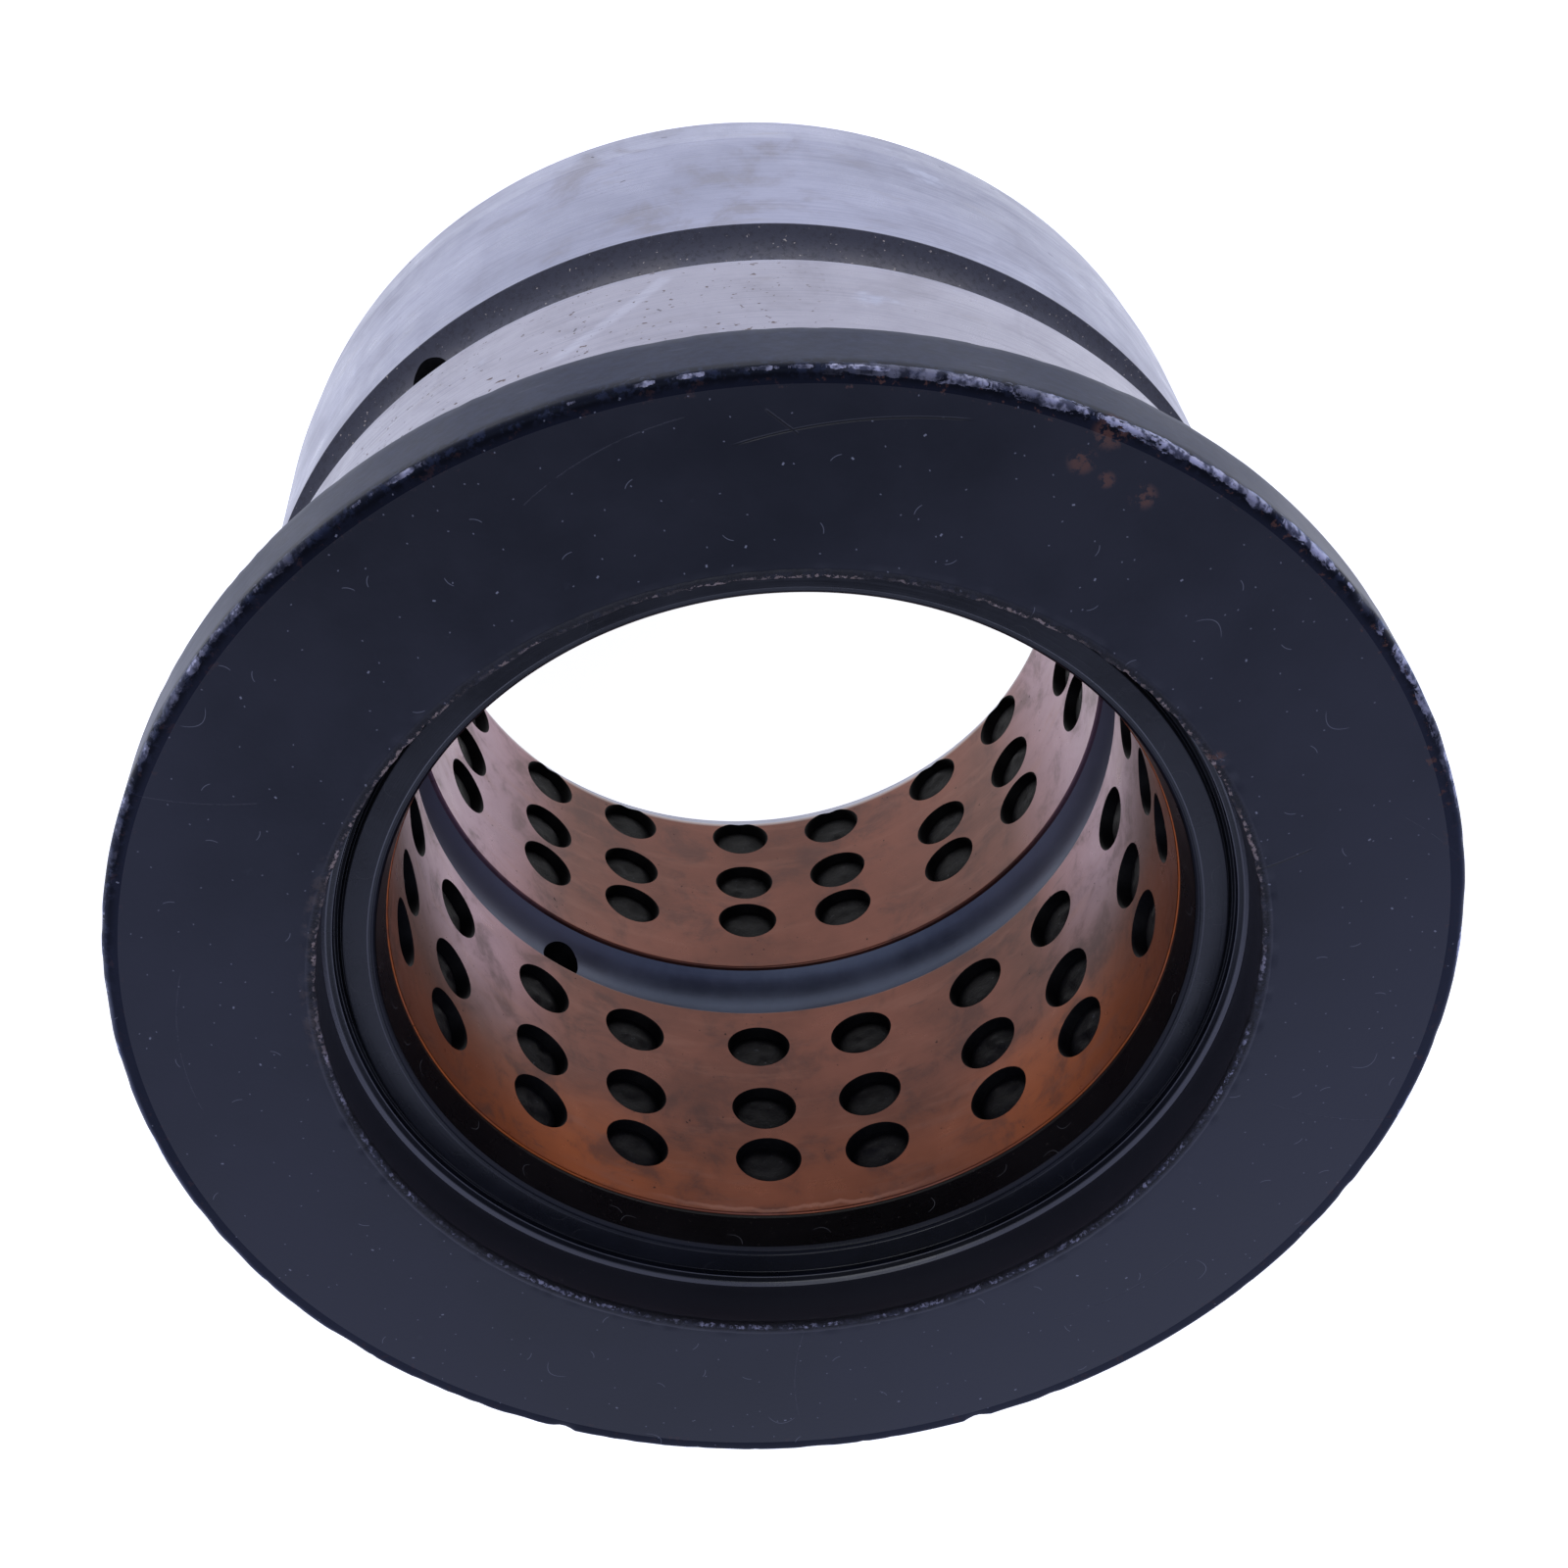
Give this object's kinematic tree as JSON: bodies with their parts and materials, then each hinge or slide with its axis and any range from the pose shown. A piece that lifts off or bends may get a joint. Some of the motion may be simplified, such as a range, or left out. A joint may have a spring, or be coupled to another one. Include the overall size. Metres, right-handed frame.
{
  "type": "flanged pin bushing",
  "caption": "Flanged steel sleeve bushing lined with plugged bronze bands around a grease groove, with a dust seal in the flange's mouth.",
  "frame": {"origin": "centre of the barrel's plain end face, on the bore's axis, at the lowest point", "axes": "+Z along the bore's axis from the plain end to the flange, +X and +Y across it, with +Y through the middle of a pair of plug columns"},
  "size_m": [0.132, 0.132, 0.09],
  "materials": {
    "shell_steel": "barrel ground bright, flange and counterbore painted black, grooves dark",
    "liner_bronze": "fine-turned copper-brown bronze with handling stains",
    "seal_rubber": "satin black",
    "plug_graphite": "black solid lubricant, rough with small shiny spots"
  },
  "bodies": {
    "root": {"flanged_shell": "shell_steel", "bronze_liner_flange_end": "liner_bronze", "bronze_liner_plain_end": "liner_bronze", "dust_seal": "seal_rubber", "plugs_flange_end_01": "plug_graphite", "plugs_flange_end_02": "plug_graphite", "plugs_flange_end_03": "plug_graphite", "plugs_flange_end_04": "plug_graphite", "plugs_flange_end_05": "plug_graphite", "plugs_flange_end_06": "plug_graphite", "plugs_flange_end_07": "plug_graphite", "plugs_flange_end_08": "plug_graphite", "plugs_flange_end_09": "plug_graphite", "plugs_flange_end_10": "plug_graphite", "plugs_flange_end_11": "plug_graphite", "plugs_flange_end_12": "plug_graphite", "plugs_flange_end_13": "plug_graphite", "plugs_flange_end_14": "plug_graphite", "plugs_flange_end_15": "plug_graphite", "plugs_flange_end_16": "plug_graphite", "plugs_flange_end_17": "plug_graphite", "plugs_flange_end_18": "plug_graphite", "plugs_plain_end_01": "plug_graphite", "plugs_plain_end_02": "plug_graphite", "plugs_plain_end_03": "plug_graphite", "plugs_plain_end_04": "plug_graphite", "plugs_plain_end_05": "plug_graphite", "plugs_plain_end_06": "plug_graphite", "plugs_plain_end_07": "plug_graphite", "plugs_plain_end_08": "plug_graphite", "plugs_plain_end_09": "plug_graphite", "plugs_plain_end_10": "plug_graphite", "plugs_plain_end_11": "plug_graphite", "plugs_plain_end_12": "plug_graphite", "plugs_plain_end_13": "plug_graphite", "plugs_plain_end_14": "plug_graphite", "plugs_plain_end_15": "plug_graphite", "plugs_plain_end_16": "plug_graphite", "plugs_plain_end_17": "plug_graphite", "plugs_plain_end_18": "plug_graphite"}
  },
  "joints": []
}
